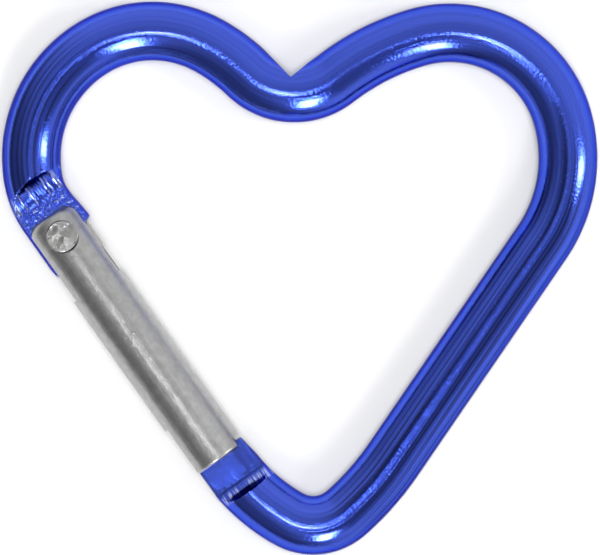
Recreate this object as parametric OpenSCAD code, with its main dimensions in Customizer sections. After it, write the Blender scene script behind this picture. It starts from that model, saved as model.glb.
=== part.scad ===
// Heart-shaped carabiner: a bent bar with a sprung gate across its straight left side.
// It lies flat on Z = 0, and the heart's plane is parallel to XY, with the cleft at +Y.
// Lengths are in millimetres and angles in degrees.

/* [Bar] */
// Diameter of the bar
bar_d = 4.9; // [4.9:0.05:5]
// Thickness of the flattened tongue at each end of the bar
tongue_t = 2; // [1.8:0.05:2.05]

/* [Heart] */
// Radius of the bar's centreline at the cleft
cleft_r = 5.6; // [5.4:0.1:6]
// Radius of the left shoulder
left_shoulder_r = 14.7; // [14.2:0.1:15.3]
// Radius of the left lobe's top
left_top_r = 9.6; // [9.4:0.05:9.85]
// Radius of the left lobe's side
left_side_r = 10.7; // [10.4:0.05:10.9]
// Radius of the bend that leads into the hinge tongue
hinge_bend_r = 7.7; // [7.4:0.1:8]
// Radius of the right shoulder
right_shoulder_r = 20.2; // [19.6:0.1:21]
// Radius of the right lobe's top
right_top_r = 9.75; // [9.6:0.05:9.9]
// Radius of the right lobe's side
right_side_r = 12.5; // [12.3:0.1:12.7]
// Radius of the leg's last bend before the tip
leg_bend_r = 24.2; // [23:0.2:26]
// Radius of the heart's tip
tip_r = 4.15; // [4:0.05:4.4]
// Radius of the bend between the tip and the nose
nose_bend_r = 15.2; // [14.5:0.1:16]

/* [Gate] */
// Outside diameter of the gate
gate_d = 4.9; // [4.8:0.05:4.9]
// Wall of the gate where it is bored out
gate_wall = 0.5; // [0.45:0.05:0.55]
// Distance from the pivot to the gate's nose end
gate_reach = 22.65; // [22.5:0.05:22.7]
// Distance from the pivot to the gate's hinge end
gate_back = 2.25; // [2.1:0.05:2.4]
// Gap between a tongue's flats and its slot, on each side
slot_gap = 0.1; // [0.08:0.01:0.15]

/* [Pivot and spring] */
// Diameter of the rivet's shank
rivet_d = 1.6; // [1.4:0.1:1.7]
// Diameter of the rivet's heads
rivet_head_d = 2.7; // [2.5:0.1:2.8]
// Wire diameter of the spring
spring_wire_d = 0.4; // [0.35:0.05:0.45]
// Number of turns in the spring
spring_turns = 9; // [7:1:10]

/* [Hidden] */
$fn = 64;
bar_r = bar_d / 2;
gate_r = gate_d / 2;
bore_r = gate_r - gate_wall;
slot_w = tongue_t + 2 * slot_gap;
far = 12;
joint_gap = 0.02;
joint_l = 0.8;
joint_depth = 0.2;

// The centreline starts at the bottom of the cleft and runs both ways.
// A run of bends is a list of [radius, turn], and a radius of 0 is a straight of that length.
cleft_at = [-0.48, 15.36];
gate_heading = 305.3;
left_turns = [-44.2, 16.6, 60.3, 65.5];
left_bends = [
    [cleft_r, left_turns[0]],
    [left_shoulder_r, left_turns[1]],
    [left_top_r, left_turns[2]],
    [left_side_r, left_turns[3]],
    [hinge_bend_r, gate_heading - 180 - total(left_turns, 4)]
];
leg_turns = [37.8, -22, -91.6, -48.6];
tip_turns = [-14.15, -70.5];
to_leg = [
    [cleft_r, leg_turns[0]],
    [right_shoulder_r, leg_turns[1]],
    [right_top_r, leg_turns[2]],
    [right_side_r, leg_turns[3]]
];
from_leg = [
    [leg_bend_r, tip_turns[0]],
    [tip_r, tip_turns[1]],
    [nose_bend_r, gate_heading - 540 - total(leg_turns, 4) - total(tip_turns, 2)]
];

// The pivot lies on the gate's axis, a little past the end of the last left bend.
bend_to_pivot = 2.15;
gate_side = left_of(gate_heading);
pivot_at = end_at(cleft_at, 180, left_bends, 5) + bend_to_pivot * ahead(gate_heading);

// The leg is as long as it takes for the nose to meet the gate's axis.
nose_offset = 0.25;
leg_heading = total(leg_turns, 4);
leg_foot = end_at(cleft_at, 0, to_leg, 4);
short_nose = end_at(leg_foot, leg_heading, from_leg, 3);
short_by = nose_offset - (short_nose - pivot_at) * gate_side;
leg_l = short_by / (ahead(leg_heading) * gate_side);
right_bends = concat(to_leg, [[0, leg_l]], from_leg);
nose_root = (end_at(cleft_at, 0, right_bends, 8) - pivot_at) * ahead(gate_heading);

// Hinge tongue, along the gate's axis from the pivot
hinge_flat_from = -3.33;
hinge_cutter_r = 2.2;
hinge_tip = [3.1, -1.2];
hinge_corner_r = 1.2;
hinge_outer = -2.4;
hinge_cam = [0.03, 2.27];
hinge_stop = [-0.23, 2.85];
pivot_gap = 0.05;

// Nose tongue
nose_tip_at = 19;
nose_flat_to = 24.94;
nose_cutter_r = 1.2;
nose_outer = -2.08;
nose_inner = 1.8;
nose_step_at = 22.1;
nose_corner = 2.4;

// Gate slots and bores
hinge_slot_l = 4.95;
hinge_bore_l = 13.6;
nose_slot_from = 18.1;
nose_bore_from = 17.6;
nose_slot_floor = 1.88;
nose_notch_at = 21.8;
nose_notch_w = 3.2;
gate_round_r = 1.1;
gate_edge_r = 0.3;

// Rivet heads sit on a small flat on each cheek of the gate.
head_seat = 2.16;
head_top = 2.44;
press = 0.01;

// Plunger and spring, inside the gate
plunger_gap = 0.08;
plunger_head_from = 3.5;
plunger_head_l = 1.1;
plunger_stem_l = 2.2;
plunger_stem_r = 0.85;
blade_t = 1.9;
blade_top = 2.42;
blade_l = 2.5;
blade_gap = 0.12;
spring_from = plunger_head_from + plunger_head_l;
spring_l = hinge_bore_l - spring_from;
spring_r = bore_r - 0.25 - spring_wire_d / 2;
spring_pitch = spring_l / spring_turns;

function total(list, n) = n == 0 ? 0 : list[n - 1] + total(list, n - 1);
function ahead(heading) = [cos(heading), sin(heading)];
function left_of(heading) = [-sin(heading), cos(heading)];
function bend_end(at, heading, bend) = bend[0] == 0
    ? at + bend[1] * ahead(heading)
    : at + bend[0] * sign(bend[1]) * (left_of(heading) - left_of(heading + bend[1]));
function turn_of(bend) = bend[0] == 0 ? 0 : bend[1];
function heading_at(heading, bends, n) = n == 0
    ? heading
    : heading_at(heading, bends, n - 1) + turn_of(bends[n - 1]);
function end_at(at, heading, bends, n) = n == 0
    ? at
    : bend_end(end_at(at, heading, bends, n - 1), heading_at(heading, bends, n - 1), bends[n - 1]);

// One bend or straight of the bar, a hair short at both ends
module bar_bend(at, heading, bend) {
    translate([at[0], at[1], 0])
    rotate([0, 0, heading])
    if (bend[0] == 0) {
        bar_end(joint_gap, bend[1] - joint_gap, 0);
    } else {
        trim = joint_gap / bend[0] * 180 / PI;
        turn = abs(bend[1]) - 2 * trim;
        translate([0, sign(bend[1]) * bend[0], 0])
        rotate([0, 0, bend[1] > 0 ? trim - 90 : 90 - trim - turn])
        rotate_extrude(angle = turn)
        translate([bend[0], 0])
        circle(r = bar_r);
    }
}

// Core that joins two bends across the hairline between them
module bar_joint(at, heading) {
    translate([at[0], at[1], 0])
    rotate([0, 0, heading])
    rotate([0, 90, 0])
    cylinder(r = bar_r - joint_depth, h = joint_l, center = true);
}

module bar_run(heading, bends) {
    for (i = [0 : len(bends) - 1]) {
        bar_bend(end_at(cleft_at, heading, bends, i), heading_at(heading, bends, i), bends[i]);
    }
    for (i = [1 : len(bends)]) {
        bar_joint(end_at(cleft_at, heading, bends, i), heading_at(heading, bends, i));
    }
}

// Children are placed with X along the gate from the pivot and Y towards the inside of the heart.
module on_gate() {
    translate([pivot_at[0], pivot_at[1], bar_r])
    rotate([0, 0, gate_heading])
    children();
}

// Straight piece of bar along X
module bar_end(from, to, offset_y) {
    translate([from, offset_y, 0])
    rotate([0, 90, 0])
    cylinder(r = bar_r, h = to - from);
}

// Everything above and below a tongue, with a cutter's round at the shoulder
module flats(shoulder, cutter_r, side) {
    for (up = [0, 1]) {
        mirror([0, 0, up])
        rotate([90, 0, 0])
        translate([shoulder, tongue_t / 2, -far / 2])
        linear_extrude(height = far) {
            translate([side > 0 ? 0 : -far, 0]) square([far, far]);
            translate([0, cutter_r + 0.01]) circle(r = cutter_r);
        }
    }
}

// Widened root of the hinge tongue, whose inner corner is the gate's cam
module hinge_tongue() {
    translate([0, 0, -tongue_t / 2])
    linear_extrude(height = tongue_t)
    polygon([[hinge_flat_from, 0], [hinge_flat_from, 2.5], hinge_stop, hinge_cam, [0.03, 0]]);
}

// Slanted end and rounded corner of the hinge tongue, cut clear of the plunger
module hinge_end_cut() {
    translate([0, 0, -far / 2])
    linear_extrude(height = far)
    polygon([
        [hinge_tip[0], -far],
        hinge_tip,
        hinge_cam,
        hinge_cam + (hinge_stop - hinge_cam) * 3,
        [far, far],
        [far, -far]
    ]);
    translate([hinge_tip[0] - hinge_corner_r, hinge_tip[1], -far / 2])
    difference() {
        translate([0, -far, 0]) cube([far, far, far]);
        cylinder(r = hinge_corner_r, h = far);
    }
    translate([-hinge_cutter_r, hinge_outer - far, -far / 2]) cube([far, far, far]);
}

module nose_trim() {
    translate([nose_tip_at - far, -far / 2, -far / 2]) cube([far, far, far]);
    translate([nose_tip_at - 1, nose_outer - far, -far / 2]) cube([nose_flat_to - nose_tip_at + 1, far, far]);
    translate([0, 0, -far / 2])
    linear_extrude(height = far)
    polygon([
        [nose_step_at - far, nose_inner],
        [nose_step_at, nose_inner],
        [nose_step_at, nose_corner],
        [nose_flat_to, nose_corner + 0.45],
        [nose_flat_to, far],
        [nose_step_at - far, far]
    ]);
}

// Creased V on top of the bar at the cleft
module cleft_crease() {
    left_wall = 46.9;
    right_wall = 40.1;
    wall_l = 4;
    translate([-0.78, 16.62, -far / 2])
    linear_extrude(height = far)
    polygon([
        [0, 0],
        wall_l * [cos(right_wall), sin(right_wall)],
        wall_l * [-cos(left_wall), sin(left_wall)]
    ]);
}

module body() {
    color([0.10, 0.16, 0.62])
    difference() {
        union() {
            difference() {
                union() {
                    translate([0, 0, bar_r]) bar_run(180, left_bends);
                    translate([0, 0, bar_r]) bar_run(0, right_bends);
                    translate([0, 0, bar_r]) bar_joint(cleft_at, 0);
                    on_gate() bar_end(joint_gap - bend_to_pivot, hinge_tip[0] + 1, 0);
                    on_gate() bar_end(nose_tip_at - 1, nose_root - joint_gap, nose_offset);
                }
                on_gate() flats(hinge_flat_from, hinge_cutter_r, 1);
                on_gate() flats(nose_flat_to, nose_cutter_r, -1);
                on_gate() nose_trim();
            }
            on_gate() hinge_tongue();
        }
        on_gate() hinge_end_cut();
        on_gate() translate([0, 0, -far / 2]) cylinder(r = rivet_d / 2 + pivot_gap, h = far);
        translate([0, 0, bar_r]) cleft_crease();
    }
}

// Half section of the gate before it is bored, with its length along Y
module gate_profile() {
    length = gate_back + gate_reach;
    square([gate_r - gate_round_r, length]);
    translate([0, gate_round_r]) square([gate_r, length - gate_round_r - gate_edge_r]);
    translate([0, gate_round_r]) square([gate_r - gate_edge_r, length - gate_round_r]);
    translate([gate_r - gate_round_r, gate_round_r]) circle(r = gate_round_r);
    translate([gate_r - gate_edge_r, length - gate_edge_r]) circle(r = gate_edge_r);
}

module gate_bore(from, to) {
    translate([from, 0, 0])
    rotate([0, 90, 0])
    cylinder(r = bore_r, h = to - from);
}

module gate() {
    color([0.66, 0.67, 0.68])
    on_gate()
    difference() {
        translate([-gate_back, 0, 0])
        rotate([90, 0, 90])
        rotate_extrude()
        gate_profile();
        gate_bore(-gate_back - 1, hinge_bore_l);
        gate_bore(nose_bore_from, gate_reach + 1);
        translate([-far, -far / 2, -slot_w / 2]) cube([far + hinge_slot_l, far, slot_w]);
        translate([nose_slot_from, -far, -slot_w / 2]) cube([far, far + nose_slot_floor, slot_w]);
        translate([nose_notch_at, nose_slot_floor, -nose_notch_w / 2]) cube([far, far, nose_notch_w]);
        translate([0, 0, -far / 2]) cylinder(r = rivet_d / 2 - press, h = far);
        for (up = [0, 1]) {
            mirror([0, 0, up]) translate([0, 0, head_seat]) cylinder(r = rivet_head_d / 2 + 0.05, h = far);
        }
    }
}

module rivet() {
    head_r = rivet_head_d / 2;
    dome_h = (head_top - head_seat) / 2;
    dome_r = (head_r * head_r + dome_h * dome_h) / (2 * dome_h);
    color([0.78, 0.76, 0.74])
    on_gate() {
        translate([0, 0, -head_seat - dome_h / 2]) cylinder(r = rivet_d / 2, h = 2 * head_seat + dome_h);
        for (up = [0, 1]) {
            mirror([0, 0, up])
            intersection() {
                translate([0, 0, head_seat]) cylinder(r = head_r, h = 2 * dome_h);
                translate([0, 0, head_top - dome_r]) sphere(r = dome_r);
            }
        }
    }
}

// The plunger's blade fills the slot beside the tongue, and its head bears on the spring.
module plunger() {
    slant = (hinge_tip[0] - hinge_cam[0]) / (hinge_cam[1] - hinge_tip[1]);
    low = -0.9;
    color([0.72, 0.70, 0.67])
    on_gate() {
        translate([0, 0, -blade_t / 2])
        linear_extrude(height = blade_t)
        polygon([
            [hinge_cam[0] + blade_gap + slant * (hinge_cam[1] - low), low],
            [hinge_cam[0] + blade_gap, hinge_cam[1]],
            [hinge_cam[0] + blade_gap - 0.02, blade_top],
            [blade_l, blade_top],
            [blade_l, 1.7],
            [plunger_head_from + 0.2, 1.7],
            [plunger_head_from + 0.2, low]
        ]);
        translate([plunger_head_from, 0, 0])
        rotate([0, 90, 0])
        cylinder(r = bore_r - plunger_gap, h = plunger_head_l);
        translate([spring_from - 0.1, 0, 0])
        rotate([0, 90, 0])
        cylinder(r = plunger_stem_r, h = plunger_stem_l + 0.1);
    }
}

// A slice through a coil of round wire, square to the spring's axis
module coil_slice() {
    wire_r = spring_wire_d / 2;
    reach = 360 * wire_r / spring_pitch;
    steps = 5;
    function rim(i, side) = spring_r + side * wire_r * sqrt(1 - pow(i / steps, 2));
    function spot(i, side) = rim(i, side) * ahead(reach * i / steps);
    polygon(concat(
        [for (i = [-steps : steps]) spot(i, 1)],
        [for (i = [steps - 1 : -1 : 1 - steps]) spot(i, -1)]
    ));
}

module spring() {
    color([0.62, 0.63, 0.65])
    on_gate()
    translate([spring_from, 0, 0])
    rotate([0, 90, 0])
    linear_extrude(height = spring_l, twist = -360 * spring_turns, slices = 16 * spring_turns, $fn = 8)
    coil_slice();
}

body();
gate();
rivet();
plunger();
spring();
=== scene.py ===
import math

import bmesh
import bpy
import numpy as np
from mathutils import Matrix, Vector


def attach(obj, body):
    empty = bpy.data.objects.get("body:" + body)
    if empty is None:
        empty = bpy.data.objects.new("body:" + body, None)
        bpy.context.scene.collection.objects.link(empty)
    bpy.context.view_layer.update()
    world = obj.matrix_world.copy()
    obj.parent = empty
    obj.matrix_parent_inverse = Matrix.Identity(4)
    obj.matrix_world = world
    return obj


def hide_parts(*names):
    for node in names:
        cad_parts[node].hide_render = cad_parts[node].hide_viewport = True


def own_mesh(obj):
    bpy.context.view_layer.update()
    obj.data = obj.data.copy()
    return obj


MM = 0.001

# Lengths are in millimetres, angles in degrees.
FAR = 9.0  # further across the bar or the gate than anything reaches
FAR_END = 30.0  # further along the gate than anything reaches

# Bar: a run of (radius, turn) bends each way from the bottom of the cleft; radius 0 is a straight.
BAR_R = 2.45
TONGUE_HALF = 1.0
CLEFT = np.array([-0.48, 15.36])
GATE_HEADING = 305.3
LEFT_BENDS = [(5.6, -44.2), (14.7, 16.6), (9.6, 60.3), (10.7, 65.5), (7.7, 27.1)]
TO_LEG = [(5.6, 37.8), (20.2, -22.0), (9.75, -91.6), (12.5, -48.6)]
FROM_LEG = [(24.2, -14.15), (4.15, -70.5), (15.2, -25.65)]
BEND_TO_PIVOT = 2.15
NOSE_OFFSET = 0.25
BAR_SIDES = 96  # points in each ring of the skin
WALK_STEP = 0.05  # between rings at the tongues, and before thinning
BEND_BLEND = 0.9
ALONG_STEP = 0.3
CLEFT_STEP = 0.1
CLEFT_REACH = 3.5  # how near the cleft its finer step is used

# Tongues, along the gate's axis (u) from the pivot, with v towards the inside of the heart
HINGE_FLAT = -3.33
HINGE_TRIM = HINGE_FLAT - 0.6
HINGE_OUTER = -2.5
HINGE_CUTTER = 2.2
HINGE_TIP = (3.1, -1.2)
HINGE_CORNER = 1.2
HINGE_CAM = (0.03, 2.27)
HINGE_STOP = (-0.23, 2.85)
NOSE_FLAT = 24.94
NOSE_CUTTER = 1.2
NOSE_TIP = 19.0
NOSE_OUTER = -2.08
NOSE_INNER = 1.8
NOSE_STEP = 22.1
NOSE_CORNER = 2.4
NOSE_RISE = 0.45
SPREAD = 0.37  # how far the pressed hinge tongue bulges inwards
SPREAD_FROM = HINGE_FLAT - 1.2
SPREAD_OVER = 4.0
NEAR_AXIS = 3
HINGE_SPAN = (-7, 5)
NOSE_SPAN = (16, 27.5)
FINE_HINGE = (-6.2, 3.2)
FINE_NOSE = (18.9, 27)
CREASE = (-0.78, 16.62)
CREASE_REACH = 4
CREASE_LEFT = 46.9
CREASE_RIGHT = 40.1

# Where the blue is marked, and where painted shade streaks lie on the leg, as (start, full, fade, end): along
# the gate's axis, and for the leg along the bar
MARKED_HALF = 3.2
HINGE_ZONE = (-5.2, -4.9, 3.3, 3.6)
SHOULDER_ZONE = (24.6, 24.9, 26.1, 26.2)
NOSE_ZONE = (17.0, 17.1, 26.0, 26.1)
LEG_ZONE = (64, 74, 103, 109)

# Gate
GATE_R = 2.45
BORE_R = 1.95
GATE_BACK = 2.25
GATE_REACH = 22.65
SLOT_HALF = 1.1
HINGE_SLOT = 4.95
HINGE_BORE = 13.6
NOSE_BORE = 17.6
NOSE_SLOT = 18.1
SLOT_FLOOR = 1.88
NOTCH_AT = 21.8
NOTCH_HALF = 1.6
CUT_OVERLAP = 0.05
BACK_ROUND = 1.1
END_ROUND = 0.3
GATE_EDGE = 0.07

# Rivet, with its two heads sunk into the gate, and its marks as (x, y, size, depth)
RIVET_R = 0.8
PIN_GAP = 0.05
HEAD_R = 1.35
HEAD_GAP = 0.02
HEAD_SEAT = 2.16
HEAD_TOP = 2.44
DOME_BELOW_TOP = 0.035
DOME_FALL = 0.45
RAISED_RIM = 0.12
RIM_DROP = 0.05
RIM_INSET = 0.06
THINNEST_HEAD = 0.02
THINNEST_RIM = 0.01
PUNCH_MARKS = [
    (-1.0, -0.38, 0.30, 0.13),
    (-0.43, 0.82, 0.28, 0.12),
    (-0.35, 0.24, 0.24, 0.08),
    (0.02, -0.44, 0.28, 0.10),
    (0.08, 0.16, 0.20, -0.03),
    (0.40, 0.33, 0.24, -0.04),
    (0.62, -0.58, 0.28, -0.04),
]

# Plunger: the head's (x, radius) outline, and the blade that slides in the hinge slot
PLUNGER_HEAD = [(3.5, 1.75), (3.58, 1.87), (4.52, 1.87), (4.6, 1.79), (4.61, 0.85), (6.7, 0.85), (6.8, 0.75)]
BLADE_GAP = 0.12
BLADE_LEAN = 0.02
BLADE_HALF = 0.95
BLADE_LOW = -0.9
BLADE_TOP = 2.42
BLADE_SCORE = [(1.25, BLADE_TOP), (1.29, 2.34), (1.33, BLADE_TOP)]
BLADE_STEP = (2.5, 1.7)
BLADE_BACK = 3.55
BLADE_EDGE = 0.05

# Spring
SPRING_FROM = 4.6
SPRING_R = 1.5
WIRE_R = 0.2
SPRING_TURNS = 9

# Camera and floor
SHOT_WIDTH = 49.97
CAMERA_HEIGHT = 450.0
LENS = 300.0
FLOOR_SIZE = 3000.0
FLOOR_GAP = 0.02
FLOOR_LAMP_SIZE = 200.0
FLOOR_LAMP_HEIGHT = 600.0
FLOOR_LAMP_WATTS = 3.5

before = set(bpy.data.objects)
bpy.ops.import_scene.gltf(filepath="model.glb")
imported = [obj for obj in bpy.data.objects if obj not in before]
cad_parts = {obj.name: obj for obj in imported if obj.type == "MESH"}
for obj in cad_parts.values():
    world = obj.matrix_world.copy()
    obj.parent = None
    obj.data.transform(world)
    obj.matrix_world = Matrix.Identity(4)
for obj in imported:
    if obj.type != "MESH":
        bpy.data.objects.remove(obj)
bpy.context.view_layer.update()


def ahead(heading):
    return np.array([math.cos(math.radians(heading)), math.sin(math.radians(heading))])


def left_of(heading):
    return np.array([-math.sin(math.radians(heading)), math.cos(math.radians(heading))])


U_AXIS = ahead(GATE_HEADING)
V_AXIS = left_of(GATE_HEADING)


def run_end(at, heading, bends):
    """Where a run of bends ends, and its heading there."""
    at = np.array(at, float)
    for radius, turn in bends:
        if radius == 0:
            at = at + turn * ahead(heading)
        else:
            at = at + radius * math.copysign(1, turn) * (left_of(heading) - left_of(heading + turn))
            heading += turn
    return at, heading


PIVOT = run_end(CLEFT, 180, LEFT_BENDS)[0] + BEND_TO_PIVOT * U_AXIS


def right_bends():
    """The right side's bends, with the straight leg as long as the nose tongue's place needs."""
    foot, heading = run_end(CLEFT, 0, TO_LEG)
    nose = run_end(foot, heading, FROM_LEG)[0]
    length = (NOSE_OFFSET - (nose - PIVOT) @ V_AXIS) / (ahead(heading) @ V_AXIS)
    return TO_LEG + [(0, length)] + FROM_LEG


def walk(heading, bends, tail, step):
    """Points and headings along a run of bends, with a straight tail."""
    at = CLEFT.copy()
    spots = []
    for radius, turn in bends + [(0, tail)]:
        length = turn if radius == 0 else abs(math.radians(turn)) * radius
        n = max(2, int(length / step))
        for i in range(n):
            share = i / n
            if radius == 0:
                spots.append((at + share * turn * ahead(heading), heading))
            else:
                side = math.copysign(1, turn)
                centre = at + radius * side * left_of(heading)
                bent = heading + share * turn
                spots.append((centre - radius * side * left_of(bent), bent))
        at, heading = run_end(at, heading, [(radius, turn)])
    spots.append((at, heading))
    return spots


def smoothed(spots, reach):
    """Headings averaged over a short reach, so that the bends flow into each other."""
    at = np.array([s[0] for s in spots])
    heading = np.unwrap(np.radians([s[1] for s in spots]))
    along = np.concatenate([[0], np.cumsum(np.linalg.norm(np.diff(at, axis=0), axis=1))])
    out = []
    for i, s in enumerate(along):
        w = np.exp(-((along - s) / reach) ** 2) * np.gradient(along)
        out.append((at[i], math.degrees((w * heading).sum() / w.sum())))
    return out


def cutter_height(u, shoulder, radius, side):
    """Half thickness that a round-nosed cutter leaves: the tongue's, rising at its shoulder."""
    past = (shoulder - u) * side
    if past <= 0:
        return TONGUE_HALF
    if past >= radius:
        return FAR
    return TONGUE_HALF + radius - math.sqrt(radius ** 2 - past ** 2)


def hinge_limits(u):
    """Lowest and highest v of the hinge tongue at u."""
    low, high = HINGE_OUTER, FAR
    if u < HINGE_TRIM:
        return -FAR, FAR
    corner = HINGE_TIP[0] - HINGE_CORNER
    if u > corner:
        low = HINGE_TIP[1] - math.sqrt(max(HINGE_CORNER ** 2 - (u - corner) ** 2, 0))
    if u > HINGE_CAM[0]:
        share = (u - HINGE_CAM[0]) / (HINGE_TIP[0] - HINGE_CAM[0])
        high = HINGE_CAM[1] + share * (HINGE_TIP[1] - HINGE_CAM[1])
    elif u > HINGE_STOP[0]:
        share = (u - HINGE_STOP[0]) / (HINGE_CAM[0] - HINGE_STOP[0])
        high = HINGE_STOP[1] + share * (HINGE_CAM[1] - HINGE_STOP[1])
    return low, high


def nose_limit(u):
    """Highest v of the nose tongue at u."""
    if u < NOSE_STEP:
        return NOSE_INNER
    if u < NOSE_FLAT:
        return NOSE_CORNER + NOSE_RISE * (u - NOSE_STEP) / (NOSE_FLAT - NOSE_STEP)
    return FAR


def tongue_spread(u):
    """How far the pressed hinge tongue bulges past the bar on its inner side."""
    return SPREAD * min(1, max(0, u - SPREAD_FROM) / SPREAD_OVER)


def ring(spot, heading, count):
    """One closed ring of points round the bar's skin, trimmed to the tongues and the crease."""
    side = left_of(heading)
    u = (spot - PIVOT) @ U_AXIS
    v = (spot - PIVOT) @ V_AXIS
    at_hinge = abs(v) < NEAR_AXIS and HINGE_SPAN[0] < u < HINGE_SPAN[1]
    at_nose = abs(v - NOSE_OFFSET) < NEAR_AXIS and NOSE_SPAN[0] < u < NOSE_SPAN[1]
    points = []
    edge = math.asin(TONGUE_HALF / BAR_R)
    quarter = count // 4
    angles = np.concatenate([
        np.linspace(-edge, edge, quarter, endpoint=False),
        np.linspace(edge, math.pi - edge, quarter, endpoint=False),
        np.linspace(math.pi - edge, math.pi + edge, quarter, endpoint=False),
        np.linspace(math.pi + edge, 2 * math.pi - edge, quarter, endpoint=False),
    ])
    for a in angles:
        n = BAR_R * math.cos(a)
        z = BAR_R * math.sin(a)
        xy = spot + n * side
        if at_hinge:
            if (side @ V_AXIS) * n > 0:
                xy = xy + tongue_spread(u) * abs(math.cos(a)) * V_AXIS
            pu = (xy - PIVOT) @ U_AXIS
            pv = (xy - PIVOT) @ V_AXIS
            top = cutter_height(pu, HINGE_FLAT, HINGE_CUTTER, 1)
            low, high = hinge_limits(pu)
            xy = xy + (min(max(pv, low), high) - pv) * V_AXIS
            z = math.copysign(min(abs(z), top), z)
        if at_nose:
            pu = (xy - PIVOT) @ U_AXIS
            pv = (xy - PIVOT) @ V_AXIS
            top = cutter_height(pu, NOSE_FLAT, NOSE_CUTTER, -1)
            high = nose_limit(pu)
            low = NOSE_OUTER if pu < NOSE_FLAT else -FAR
            xy = xy + (min(max(pv, low), high) - pv) * V_AXIS
            z = math.copysign(min(abs(z), top), z)
        from_crease = abs(xy[0] - CREASE[0])
        if from_crease < CREASE_REACH and xy[1] > CREASE[1]:
            slope = math.tan(math.radians(CREASE_LEFT if xy[0] < CREASE[0] else CREASE_RIGHT))
            xy = np.array([xy[0], min(xy[1], CREASE[1] + slope * from_crease)])
        points.append((xy[0], xy[1], z + BAR_R))
    return points


def new_object(name, verts, faces, body, material):
    mesh = bpy.data.meshes.new(name)
    mesh.from_pydata([tuple(c * MM for c in v) for v in verts], [], faces)
    mesh.validate()
    mesh.update()
    obj = bpy.data.objects.new(name, mesh)
    bpy.context.collection.objects.link(obj)
    mesh.materials.append(material)
    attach(obj, body)
    return obj


def shade(obj, angle=32):
    """Smooth shading, but sharp where faces meet at more than an angle."""
    for poly in obj.data.polygons:
        poly.use_smooth = True
    obj.data.set_sharp_from_angle(angle=math.radians(angle))


def spaced(spots):
    """Thins a fine walk to wide steps, except at the tongues, their shoulders and the cleft."""
    kept = [spots[0]]
    for at, heading in spots[1:-1]:
        u = (at - PIVOT) @ U_AXIS
        v = (at - PIVOT) @ V_AXIS
        at_tongue = FINE_HINGE[0] < u < FINE_HINGE[1] or FINE_NOSE[0] < u < FINE_NOSE[1]
        if abs(v) < NEAR_AXIS and at_tongue:
            gap = WALK_STEP
        elif np.linalg.norm(at - CLEFT) < CLEFT_REACH:
            gap = CLEFT_STEP
        else:
            gap = ALONG_STEP
        if np.linalg.norm(at - kept[-1][0]) >= gap * 0.999:
            kept.append((at, heading))
    kept.append(spots[-1])
    return kept


def build_bar(material):
    """The bar as one swept skin, which keeps how far along and around each point is for its material."""
    left = smoothed(walk(180, LEFT_BENDS, BEND_TO_PIVOT + HINGE_TIP[0], WALK_STEP), BEND_BLEND)
    bends = right_bends()
    nose_root = (run_end(CLEFT, 0, bends)[0] - PIVOT) @ U_AXIS
    right = smoothed(walk(0, bends, nose_root - NOSE_TIP, WALK_STEP), BEND_BLEND)
    back = [(at, heading + 180) for at, heading in reversed(spaced(left))]
    path = back[:-1] + spaced(right)
    count = BAR_SIDES
    verts = []
    faces = []
    for at, heading in path:
        verts += ring(at, heading, count)
    for i in range(len(path) - 1):
        for j in range(count):
            k = (j + 1) % count
            faces.append((i * count + j, (i + 1) * count + j, (i + 1) * count + k, i * count + k))
    faces.append(tuple(reversed(range(count))))
    faces.append(tuple((len(path) - 1) * count + j for j in range(count)))
    bar = new_object("bar_skin", verts, [tuple(reversed(f)) for f in faces], "body", material)
    steps = [np.linalg.norm(path[i + 1][0] - path[i][0]) for i in range(len(path) - 1)]
    lengths = np.concatenate([[0], np.cumsum(steps)])
    along = bar.data.attributes.new("along", "FLOAT", "POINT")
    around = bar.data.attributes.new("around", "FLOAT", "POINT")
    along.data.foreach_set("value", np.repeat(lengths, count))
    around.data.foreach_set("value", np.tile(np.abs(np.linspace(-1, 1, count)), len(path)))
    return bar


def on_gate(obj):
    """Turns a piece built along X from the pivot onto the gate's axis."""
    place = Matrix.Translation(Vector((PIVOT[0], PIVOT[1], BAR_R)) * MM)
    obj.data.transform(place @ Matrix.Rotation(math.radians(GATE_HEADING), 4, "Z"))


def revolve(name, profile, body, material, segments=96):
    """A closed (x, radius) outline turned about X."""
    verts = []
    for x, r in profile:
        for j in range(segments):
            a = 2 * math.pi * j / segments
            verts.append((x, r * math.cos(a), r * math.sin(a)))
    faces = []
    for i in range(len(profile) - 1):
        for j in range(segments):
            k = (j + 1) % segments
            faces.append((i * segments + j, i * segments + k, (i + 1) * segments + k, (i + 1) * segments + j))
    faces.append(tuple(range(segments)))
    last = (len(profile) - 1) * segments
    faces.append(tuple(reversed(range(last, last + segments))))
    return new_object(name, verts, [tuple(reversed(f)) for f in faces], body, material)


def cutter_box(low, high):
    """A box between two corners, in the gate's frame before on_gate turns it."""
    bm = bmesh.new()
    bmesh.ops.create_cube(bm, size=1)
    for v in bm.verts:
        v.co = Vector((low[i] + (v.co[i] + 0.5) * (high[i] - low[i]) for i in range(3))) * MM
    return cutter_from(bm)


def cutter_from(bm):
    mesh = bpy.data.meshes.new("cutter")
    bm.to_mesh(mesh)
    bm.free()
    obj = bpy.data.objects.new("cutter", mesh)
    bpy.context.collection.objects.link(obj)
    return obj


def cutter_rod(radius, low, high, axis, segments=96):
    bm = bmesh.new()
    bmesh.ops.create_cone(
        bm, cap_ends=True, segments=segments, radius1=radius, radius2=radius, depth=high - low)
    bmesh.ops.translate(bm, verts=bm.verts, vec=(0, 0, (low + high) / 2))
    if axis == "X":
        bmesh.ops.rotate(bm, verts=bm.verts, matrix=Matrix.Rotation(math.pi / 2, 3, "Y"))
    bmesh.ops.scale(bm, verts=bm.verts, vec=(MM, MM, MM))
    return cutter_from(bm)


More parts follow.
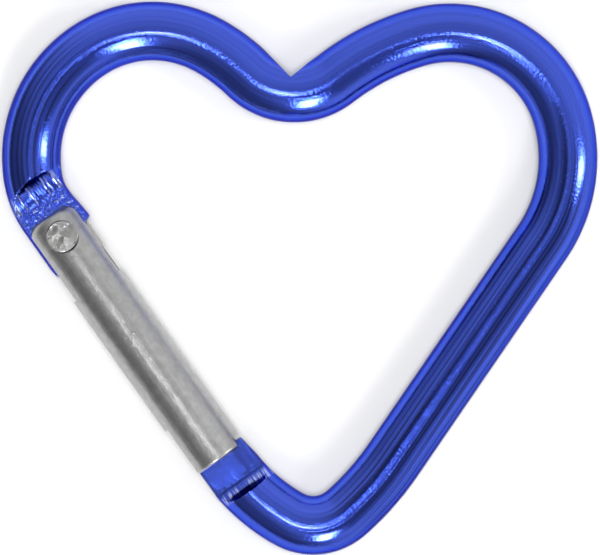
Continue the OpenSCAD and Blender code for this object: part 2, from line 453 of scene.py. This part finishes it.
def cut(obj, cutters):
    """Takes each cutter out of a piece, and removes the cutter."""
    for tool in cutters:
        change = obj.modifiers.new("cut", "BOOLEAN")
        change.operation = "DIFFERENCE"
        change.solver = "EXACT"
        change.object = tool
        bpy.context.view_layer.objects.active = obj
        bpy.ops.object.modifier_apply(modifier=change.name)
        bpy.data.objects.remove(tool)


def bevel(obj, width):
    """Breaks the sharp edges only."""
    change = obj.modifiers.new("bevel", "BEVEL")
    change.width = width * MM
    change.segments = 2
    change.limit_method = "ANGLE"
    change.angle_limit = math.radians(35)
    bpy.context.view_layer.objects.active = obj
    bpy.ops.object.modifier_apply(modifier=change.name)


def rounded(x, r, radius, start, end):
    """Points on a quarter round with its centre at (x, r), from start to end degrees."""
    steps = 8
    turn = [math.radians(start + (end - start) * i / steps) for i in range(steps + 1)]
    return [(x + radius * math.cos(a), r + radius * math.sin(a)) for a in turn]


def build_gate(material):
    """The gate's tube, bored from both ends, slotted for both tongues and cut for the rivet's heads."""
    profile = rounded(BACK_ROUND - GATE_BACK, GATE_R - BACK_ROUND, BACK_ROUND, 180, 90)
    profile += rounded(GATE_REACH - END_ROUND, GATE_R - END_ROUND, END_ROUND, 90, 0)
    gate = revolve("gate_tube", profile, "gate", material, 128)
    cut(gate, [
        cutter_rod(BORE_R, -GATE_BACK - 1, HINGE_BORE, "X"),
        cutter_rod(BORE_R, NOSE_BORE, GATE_REACH + 1, "X"),
        cutter_box((-FAR, -FAR, -SLOT_HALF), (HINGE_SLOT, FAR, SLOT_HALF)),
        cutter_box((NOSE_SLOT, -FAR, -SLOT_HALF), (FAR_END, SLOT_FLOOR, SLOT_HALF)),
        cutter_box((NOTCH_AT, SLOT_FLOOR - CUT_OVERLAP, -NOTCH_HALF), (FAR_END, FAR, NOTCH_HALF)),
        cutter_rod(RIVET_R, -FAR, FAR, "Z", 48),
        cutter_rod(HEAD_R + HEAD_GAP, HEAD_SEAT, FAR, "Z", 64),
        cutter_rod(HEAD_R + HEAD_GAP, -FAR, -HEAD_SEAT, "Z", 64),
    ])
    bevel(gate, GATE_EDGE)
    on_gate(gate)
    shade(gate)
    return gate


def peened_height(x, y, flip):
    """Height of a hammered rivet head above its seat: a low dome, raised at one side, with punch marks."""
    r = math.hypot(x, y) / HEAD_R
    dome = (HEAD_TOP - HEAD_SEAT - DOME_BELOW_TOP) * (1 - DOME_FALL * r ** 2)
    h = dome + RAISED_RIM * max(0, -x / HEAD_R) ** 2
    for mx, my, size, depth in PUNCH_MARKS:
        d = math.hypot(x - mx * flip, y - my) / size
        h -= depth * math.exp(-d * d)
    return max(h, THINNEST_HEAD)


def build_rivet(material):
    """The rivet: two peened heads and a shank, built from each head's middle to the shank's middle."""
    rings, segments = 26, 72
    verts, faces = [], []
    for up in (1, -1):
        base = len(verts)
        verts.append((0, 0, up * (HEAD_SEAT + peened_height(0, 0, up))))
        for i in range(1, rings + 1):
            for j in range(segments):
                a = 2 * math.pi * j / segments
                r = HEAD_R * i / rings * (1 - RIM_INSET * max(math.cos(a + 0.1), 0) ** 2)
                x, y = r * math.cos(a), r * math.sin(a)
                drop = RIM_DROP if i == rings else 0
                height = max(peened_height(x, y, up) - drop, THINNEST_RIM)
                verts.append((x, y, up * (HEAD_SEAT + height)))
        for j in range(segments):
            faces.append((base, base + 1 + j, base + 1 + (j + 1) % segments)[::up])
        for i in range(rings - 1):
            for j in range(segments):
                a = base + 1 + i * segments + j
                b = base + 1 + i * segments + (j + 1) % segments
                faces.append((a, a + segments, b + segments, b)[::up])
        rim = base + 1 + (rings - 1) * segments
        low = len(verts)
        for r, z in ((HEAD_R, HEAD_SEAT), (RIVET_R, HEAD_SEAT), (RIVET_R, 0)):
            for j in range(segments):
                a = 2 * math.pi * j / segments
                verts.append((r * math.cos(a), r * math.sin(a), up * z))
        for start, stop in ((rim, low), (low, low + segments), (low + segments, low + 2 * segments)):
            for j in range(segments):
                k = (j + 1) % segments
                faces.append((start + j, stop + j, stop + k, start + k)[::up])
    rivet = new_object("rivet_peened", verts, faces, "gate", material)
    on_gate(rivet)
    shade(rivet, 40)
    return rivet


def build_plunger(material):
    """The plunger's round head, and its flat blade with a slanting front along the tongue's cam."""
    head = revolve("plunger_head", PLUNGER_HEAD, "plunger", material, 64)
    slant = (HINGE_TIP[0] - HINGE_CAM[0]) / (HINGE_CAM[1] - HINGE_TIP[1])
    front = HINGE_CAM[0] + BLADE_GAP
    outline = [
        (front + slant * (HINGE_CAM[1] - BLADE_LOW), BLADE_LOW),
        (front, HINGE_CAM[1]),
        (front - BLADE_LEAN, BLADE_TOP),
        *BLADE_SCORE,
        (BLADE_STEP[0], BLADE_TOP),
        BLADE_STEP,
        (BLADE_BACK, BLADE_STEP[1]),
        (BLADE_BACK, BLADE_LOW),
    ]
    n = len(outline)
    verts = [(x, y, z) for z in (-BLADE_HALF, BLADE_HALF) for x, y in outline]
    faces = [tuple(reversed(range(n))), tuple(range(n, 2 * n))]
    faces += [(i, (i + 1) % n, n + (i + 1) % n, n + i) for i in range(n)]
    blade = new_object("plunger_blade", verts, [tuple(reversed(f)) for f in faces], "plunger", material)
    for piece in (head, blade):
        bm = bmesh.new()
        bm.from_mesh(piece.data)
        bmesh.ops.recalc_face_normals(bm, faces=bm.faces)
        bm.to_mesh(piece.data)
        bm.free()
    bevel(blade, BLADE_EDGE)
    for piece in (head, blade):
        on_gate(piece)
        shade(piece)
    return head, blade


def build_spring(material):
    """The coil between the plunger's head and the end of the gate's bore."""
    length = HINGE_BORE - SPRING_FROM
    steps, sides = 32 * SPRING_TURNS, 12
    verts, faces = [], []
    for i in range(steps + 1):
        share = i / steps
        turn = 2 * math.pi * SPRING_TURNS * share
        x = SPRING_FROM + WIRE_R + (length - 2 * WIRE_R) * share
        for j in range(sides):
            a = 2 * math.pi * j / sides
            r = SPRING_R + WIRE_R * math.cos(a)
            verts.append((x + WIRE_R * math.sin(a), r * math.cos(turn), r * math.sin(turn)))
    for i in range(steps):
        for j in range(sides):
            k = (j + 1) % sides
            faces.append((i * sides + j, i * sides + k, (i + 1) * sides + k, (i + 1) * sides + j))
    faces.append(tuple(reversed(range(sides))))
    faces.append(tuple(steps * sides + j for j in range(sides)))
    spring = new_object("spring_coil", verts, faces, "gate", material)
    on_gate(spring)
    shade(spring, 50)
    return spring


class Nodes:
    """Short calls for building a node tree."""

    def __init__(self, tree):
        self.tree = tree
        self.tree.nodes.clear()

    def link(self, source, target):
        self.tree.links.new(source, target)

    def feed(self, socket, value):
        if isinstance(value, bpy.types.NodeSocket):
            self.link(value, socket)
        else:
            socket.default_value = value

    def attribute(self, name):
        node = self.tree.nodes.new("ShaderNodeAttribute")
        node.attribute_name = name
        return node.outputs["Fac"]

    def math(self, operation, a, b=0.0):
        node = self.tree.nodes.new("ShaderNodeMath")
        node.operation = operation
        self.feed(node.inputs[0], a)
        self.feed(node.inputs[1], b)
        return node.outputs[0]

    def times(self, a, *others):
        for b in others:
            a = self.math("MULTIPLY", a, b)
        return a

    def add(self, a, b):
        return self.math("ADD", a, b)

    def less(self, a, b):
        return self.math("SUBTRACT", a, b)

    def most(self, a, b):
        return self.math("MAXIMUM", a, b)

    def within(self, value, limit):
        return self.math("LESS_THAN", self.math("ABSOLUTE", value), limit)

    def vector(self, x, y, z):
        node = self.tree.nodes.new("ShaderNodeCombineXYZ")
        for socket, value in zip(node.inputs, (x, y, z)):
            self.feed(socket, value)
        return node.outputs[0]

    def split(self, vector):
        node = self.tree.nodes.new("ShaderNodeSeparateXYZ")
        self.link(vector, node.inputs[0])
        return node.outputs

    def on_gate_axis(self, vector):
        """Millimetres from the pivot, with X along the closed gate."""
        node = self.tree.nodes.new("ShaderNodeMapping")
        node.vector_type = "TEXTURE"
        node.inputs["Location"].default_value = [c * MM for c in (PIVOT[0], PIVOT[1], BAR_R)]
        node.inputs["Rotation"].default_value = (0, 0, math.radians(GATE_HEADING))
        node.inputs["Scale"].default_value = (MM, MM, MM)
        self.link(vector, node.inputs[0])
        return node.outputs[0]

    def noise(self, vector, scale, detail=3.0, rough=0.5):
        node = self.tree.nodes.new("ShaderNodeTexNoise")
        node.inputs["Scale"].default_value = scale
        node.inputs["Detail"].default_value = detail
        node.inputs["Roughness"].default_value = rough
        self.link(vector, node.inputs["Vector"])
        return node.outputs["Fac"]

    def ramp(self, value, low, high, to_low=0.0, to_high=1.0):
        node = self.tree.nodes.new("ShaderNodeMapRange")
        node.interpolation_type = "SMOOTHSTEP"
        self.feed(node.inputs[0], value)
        for socket, amount in zip(node.inputs[1:5], (low, high, to_low, to_high)):
            socket.default_value = amount
        return node.outputs[0]

    def band(self, value, zone):
        """1 between a zone's middle two values, falling smoothly to 0 at its ends."""
        start, full, fade, end = zone
        return self.times(self.ramp(value, start, full), self.ramp(value, fade, end, 1.0, 0.0))

    def mix(self, share, a, b):
        node = self.tree.nodes.new("ShaderNodeMix")
        node.data_type = "RGBA"
        self.feed(node.inputs[0], share)
        self.feed(node.inputs[6], a)
        self.feed(node.inputs[7], b)
        return node.outputs[2]

    def bump(self, height, depth, under=None):
        node = self.tree.nodes.new("ShaderNodeBump")
        node.inputs["Strength"].default_value = 1.0
        node.inputs["Distance"].default_value = depth * MM
        self.link(height, node.inputs["Height"])
        if under is not None:
            self.link(under, node.inputs["Normal"])
        return node.outputs[0]


class Finish(Nodes):
    """A material with one plain shader, and where each point is on the object."""

    def __init__(self, name):
        self.material = bpy.data.materials.new(name)
        self.material.use_nodes = True
        super().__init__(self.material.node_tree)
        out = self.tree.nodes.new("ShaderNodeOutputMaterial")
        self.shader = self.tree.nodes.new("ShaderNodeBsdfPrincipled")
        self.link(self.shader.outputs[0], out.inputs["Surface"])
        self.place = self.tree.nodes.new("ShaderNodeTexCoord").outputs["Object"]

    def set(self, **amounts):
        """Constants on the shader's own sockets, named with _ for each space."""
        for name, amount in amounts.items():
            self.shader.inputs[name.replace("_", " ")].default_value = amount

    def drive(self, name, source):
        self.link(source, self.shader.inputs[name])


DEEP_BLUE = (0.040, 0.082, 0.58, 1)
BRIGHT_BLUE = (0.060, 0.115, 0.70, 1)
# painted shade colour for the dark streaks on the leg and beside the hinge
SHADE_STREAK_BLUE = (0.010, 0.026, 0.20, 1)
NOSE_BLUE = (0.024, 0.052, 0.34, 1)
# painted highlight colour for the glints on the tongues' marks
PAINTED_GLINT = (0.45, 0.52, 0.95, 1)
RIM_BLUE = (0.06, 0.09, 0.36, 1)
DULL_GREY = (0.36, 0.36, 0.36, 1)
LIGHT_GREY = (0.43, 0.43, 0.43, 1)
FLOOR_GREYS = (0.57, 0.57, 0.57, 1), (0.59, 0.59, 0.59, 1)


def anodised_blue():
    """Clear blue dye in an oxide skin over drawn aluminium, with tool marks on the two pressed tongues,
    painted shade in dark streaks down the leg and beside the hinge, and painted highlights on the tongues'
    marks.
    """
    n = Finish("anodised_blue")
    along = n.attribute("along")
    around = n.attribute("around")
    # die lines left along the bar when it was drawn, slow waves from its bending, and the oxide's grain
    lines = n.noise(n.vector(n.times(along, 0.03), n.times(around, 36), 0.0), 1.0, 4.0, 0.6)
    waves = n.noise(n.vector(n.times(along, 0.030), n.times(around, 7), 4.0), 1.0, 1.0, 0.5)
    grain = n.noise(n.place, 4500, 3.0)
    soft = n.noise(n.place, 420, 2.0)

    # the pressed places: the hinge tongue with its ramp and its flat, and the shoulder and flat at the nose
    u, v, _ = n.split(n.on_gate_axis(n.place))
    near = n.within(v, MARKED_HALF)
    hinge = n.times(n.band(u, HINGE_ZONE), near)
    hinge_ramp = n.times(hinge, n.ramp(u, -3.6, -3.3, 1.0, 0.0))
    hinge_flat = n.times(hinge, n.ramp(u, -3.4, -3.2))
    shoulder = n.times(n.band(u, SHOULDER_ZONE), near)
    nose = n.times(n.band(u, NOSE_ZONE), near)
    worked = n.most(hinge, shoulder)
    unworked = n.less(1.0, worked)

    # tool marks: long scores down the hinge's ramp, dents on its flat, and ticks across the nose's shoulder
    scores = n.ramp(n.noise(n.vector(n.times(u, 0.08), n.times(v, 3.0), 0.0), 1.0, 1.0), 0.38, 0.62)
    dents = n.ramp(n.noise(n.vector(n.times(u, 3.1), n.times(v, 3.4), 0.0), 1.0, 3.0, 0.6), 0.35, 0.65)
    ticks = n.noise(n.vector(n.times(u, 0.3), n.times(v, 7.0), 0.0), 1.0, 2.0)
    marks = n.add(n.times(scores, hinge_ramp), n.times(dents, hinge_flat, 0.4))
    marks = n.add(marks, n.times(ticks, shoulder, 0.6))

    skin = n.bump(waves, 0.16)
    skin = n.bump(n.times(lines, unworked), 0.022, skin)
    skin = n.bump(soft, 0.012, skin)
    skin = n.bump(n.times(grain, n.less(1.0, n.times(nose, 0.85))), 0.013, skin)
    skin = n.bump(marks, 0.05, skin)
    n.drive("Normal", skin)

    dye = n.mix(n.times(n.ramp(lines, 0.3, 0.7), 0.8), DEEP_BLUE, BRIGHT_BLUE)
    # painted shade: dark streaks along the bar, down the long leg and beside the hinge, where the metal shows
    # dark reflections
    shade_streaks = n.noise(n.vector(n.times(along, 0.014), n.times(around, 34), 9.0), 1.0, 2.0, 0.6)
    beside = n.times(n.ramp(along, 17, 23, 0.8, 0.0), unworked)
    shade_streaks = n.times(n.ramp(shade_streaks, 0.47, 0.60), n.most(n.band(along, LEG_ZONE), beside))
    dye = n.mix(n.times(shade_streaks, 0.85), dye, SHADE_STREAK_BLUE)
    dye = n.mix(n.times(nose, n.ramp(u, 25.0, 25.2, 0.7, 0.0)), dye, NOSE_BLUE)

    # painted highlights: lighter blue glints painted on the hinge ramp's scores, the hinge flat's dents and
    # the ticks at the nose's shoulder
    glints = n.times(n.ramp(scores, 0.6, 0.95), hinge_ramp)
    tick_glints = n.times(n.ramp(ticks, 0.44, 0.60, 0.0, 1.8), shoulder, n.ramp(u, 25.1, 25.6))
    dent_glints = n.times(n.ramp(dents, 0.8, 1.0), hinge_flat)
    glints = n.most(n.most(glints, tick_glints), dent_glints)
    # the base colour carries these painted highlights over the blue and its painted shade streaks
    n.drive("Base Color", n.mix(n.times(glints, 0.5), dye, PAINTED_GLINT))
    n.drive("Roughness", n.add(n.ramp(grain, 0.2, 0.8, 0.09, 0.15), n.times(worked, 0.02)))
    n.set(Metallic=1.0, Specular_Tint=RIM_BLUE)
    n.set(Coat_Weight=0.11, Coat_IOR=2.4, Coat_Roughness=0.09)
    return n.material


def tumbled_aluminium():
    """Bare aluminium tube, dulled by tumbling, with faint draw lines along it and small knocks."""
    n = Finish("tumbled_aluminium")
    along = n.on_gate_axis(n.place)
    u, v, z = n.split(along)
    lines = n.noise(n.vector(n.times(u, 0.16), n.times(v, 5.0), n.times(z, 5.0)), 1.0, 4.0, 0.6)
    cloud = n.noise(along, 1.6, 4.0, 0.6)
    grain = n.noise(along, 14.0, 3.0, 0.6)
    skin = n.bump(lines, 0.016)
    skin = n.bump(cloud, 0.03, skin)
    skin = n.bump(grain, 0.005, skin)
    n.drive("Normal", skin)
    n.drive("Base Color", n.mix(n.ramp(cloud, 0.3, 0.7), DULL_GREY, LIGHT_GREY))
    n.drive("Roughness", n.ramp(grain, 0.3, 0.7, 0.27, 0.38))
    n.set(Metallic=1.0)
    return n.material


def bright_steel(name, base, scale, depth, rough):
    """Plain steel with fine marks of a given size and depth in millimetres."""
    n = Finish(name)
    spots = n.noise(n.on_gate_axis(n.place), 1 / scale, 4.0, 0.6)
    n.drive("Normal", n.bump(spots, depth))
    dark = tuple(c * 0.8 for c in base) + (1,)
    n.drive("Base Color", n.mix(n.ramp(spots, 0.3, 0.7), dark, base + (1,)))
    n.drive("Roughness", n.ramp(spots, 0.3, 0.7, rough, rough + 0.12))
    n.set(Metallic=1.0)
    return n.material


def pale_floor():
    """A plain pale table top just under the object, with the least unevenness in its grey."""
    n = Finish("pale_floor")
    n.drive("Base Color", n.mix(n.noise(n.place, 30), *FLOOR_GREYS))
    n.set(Roughness=0.9, Specular_IOR_Level=0.0)
    bpy.ops.mesh.primitive_plane_add(size=FLOOR_SIZE * MM, location=(0, 0, -FLOOR_GAP * MM))
    floor = bpy.context.object
    floor.name = "floor"
    floor.data.materials.append(n.material)


# Light seen from the table, placed by how far a mirror must tilt (x, y) to show it to the camera above.
# Each lamp is x, y, half width, half height, strength.
LAMP_EDGE = (0.7, 1.3)  # where a lamp starts to fade and ends, as shares of its half size
LAMPS = [
    (-0.015, -0.072, 0.018, 0.020, 34.0),
    (0.42, -0.02, 0.085, 0.026, 22.0),
    (0.08, -0.41, 0.045, 0.095, 22.0),
]
WALL = 0.93
SHADE = 0.22
# Each dark spot is x, y, how far out it is darkest, how far out it ends, and the share of light left in it.
DARK_SPOTS = [
    (-0.02, 0.12, 0.05, 0.35, 0.72),
    (-0.12, 0.03, 0.04, 0.11, 0.25),
    (0.22, -0.19, 0.12, 0.30, 0.35),
]


def from_spot(n, x, y, cx, cy):
    """How far a tilt is from a given one."""
    dx = n.less(x, cx)
    dy = n.less(y, cy)
    return n.math("SQRT", n.add(n.times(dx, dx), n.times(dy, dy)))


def studio():
    """The room's light: a soft wall, darker to the left, with three lamps."""
    world = bpy.data.worlds.new("studio")
    world.use_nodes = True
    bpy.context.scene.world = world
    n = Nodes(world.node_tree)
    out = n.tree.nodes.new("ShaderNodeOutputWorld")
    shine = n.tree.nodes.new("ShaderNodeBackground")
    n.link(shine.outputs[0], out.inputs["Surface"])
    way = n.tree.nodes.new("ShaderNodeTexCoord").outputs["Generated"]
    add = n.tree.nodes.new("ShaderNodeVectorMath")
    add.operation = "ADD"
    add.inputs[1].default_value = (0, 0, 1)
    n.link(way, add.inputs[0])
    unit = n.tree.nodes.new("ShaderNodeVectorMath")
    unit.operation = "NORMALIZE"
    n.link(add.outputs[0], unit.inputs[0])
    x, y, _ = n.split(unit.outputs[0])
    # the room is darker to the left, a little darker overhead, and darkest where the camera hangs
    leftward = n.add(n.times(x, -0.95), n.times(y, -0.50))
    light = n.ramp(leftward, -0.05, 0.5, WALL, SHADE)
    for cx, cy, near, far, share in DARK_SPOTS:
        light = n.times(light, n.ramp(from_spot(n, x, y, cx, cy), near, far, share, 1.0))
    light = n.times(light, n.ramp(y, -0.75, -0.55, 0.75, 1.0))
    for cx, cy, w, h, strength in LAMPS:
        dx = n.math("DIVIDE", n.math("ABSOLUTE", n.less(x, cx)), w)
        dy = n.math("DIVIDE", n.math("ABSOLUTE", n.less(y, cy)), h)
        light = n.add(light, n.ramp(n.most(dx, dy), *LAMP_EDGE, strength, 0.0))
    n.link(light, shine.inputs["Strength"])
    shine.inputs["Color"].default_value = (1, 1, 1, 1)


def floor_light():
    """A wide soft lamp overhead that lights the floor and isn't mirrored in the metal."""
    data = bpy.data.lights.new("floor_lamp", "AREA")
    data.shape = "DISK"
    data.size = FLOOR_LAMP_SIZE * MM
    data.energy = FLOOR_LAMP_WATTS
    lamp = bpy.data.objects.new("floor_lamp", data)
    bpy.context.collection.objects.link(lamp)
    lamp.location = (0, 0, FLOOR_LAMP_HEIGHT * MM)
    lamp.visible_glossy = False


def camera():
    """A long lens straight above, which takes in SHOT_WIDTH at the height of the bar's middle."""
    data = bpy.data.cameras.new("shot")
    data.lens = LENS
    data.sensor_fit = "HORIZONTAL"
    data.sensor_width = SHOT_WIDTH * LENS / (CAMERA_HEIGHT - BAR_R)
    data.clip_start = 0.01
    data.dof.use_dof = False
    obj = bpy.data.objects.new("shot", data)
    bpy.context.collection.objects.link(obj)
    obj.location = (0, 0, CAMERA_HEIGHT * MM)
    bpy.context.scene.camera = obj


blue = anodised_blue()
bare = tumbled_aluminium()
rivet_steel = bright_steel("peened_rivet", (0.40, 0.40, 0.395), 0.35, 0.02, 0.26)
turned_steel = bright_steel("turned_steel", (0.55, 0.54, 0.53), 0.2, 0.01, 0.30)
wire_steel = bright_steel("drawn_wire", (0.50, 0.51, 0.53), 0.15, 0.004, 0.28)

bar = build_bar(blue)
pin_hole = cutter_rod(RIVET_R + PIN_GAP, -FAR, FAR, "Z", 64)
on_gate(pin_hole)
cut(bar, [pin_hole])
shade(bar)
gate = build_gate(bare)
rivet = build_rivet(rivet_steel)
plunger = build_plunger(turned_steel)
spring = build_spring(wire_steel)
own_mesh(spring)
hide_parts("body")
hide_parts("gate")
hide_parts("rivet")
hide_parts("plunger")
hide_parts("spring")
finishes = {
    "body": blue, "gate": bare, "rivet": rivet_steel, "plunger": turned_steel, "spring": wire_steel,
}
for node, finish in finishes.items():
    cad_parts[node].data.materials.clear()
    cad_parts[node].data.materials.append(finish)

bpy.context.scene.view_settings.view_transform = "Standard"
pale_floor()
studio()
floor_light()
camera()
